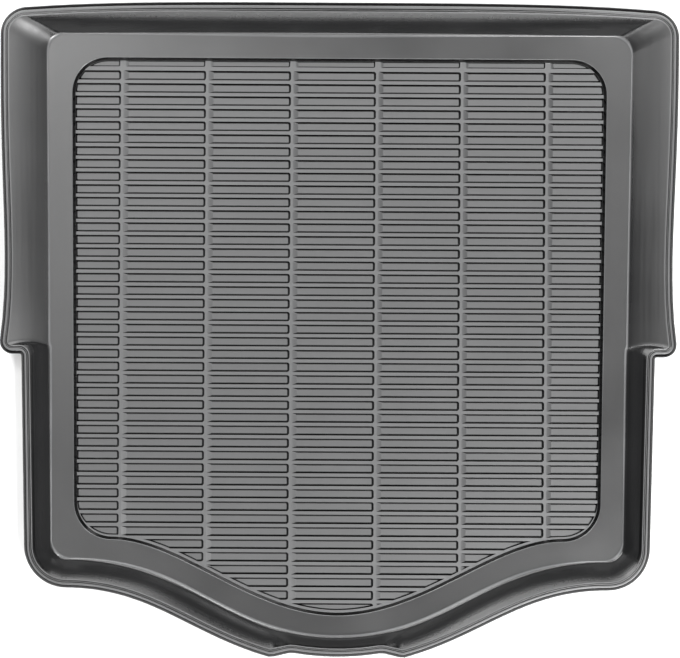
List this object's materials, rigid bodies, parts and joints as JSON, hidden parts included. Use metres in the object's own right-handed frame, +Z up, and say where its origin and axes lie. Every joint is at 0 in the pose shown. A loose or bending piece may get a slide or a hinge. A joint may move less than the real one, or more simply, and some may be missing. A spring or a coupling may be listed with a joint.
{
  "type": "car boot liner",
  "caption": "One-piece moulded plastic tray for a car boot: ribbed floor a step below a flat band, sloping walls with a turned lip, narrower front half and a notched front edge.",
  "frame": {"origin": "middle of the liner's outline, on the plane that its underside rests on", "axes": "+X to the right across the boot, +Y towards the wide rear edge, -Y towards the notched nose, +Z up out of the tray"},
  "size_m": [1.0586, 1.0212, 0.045],
  "materials": {
    "moulded_plastic": "fine-grained charcoal polyethylene with a soft sheen"
  },
  "bodies": {
    "root": {"liner": "moulded_plastic"}
  },
  "joints": []
}
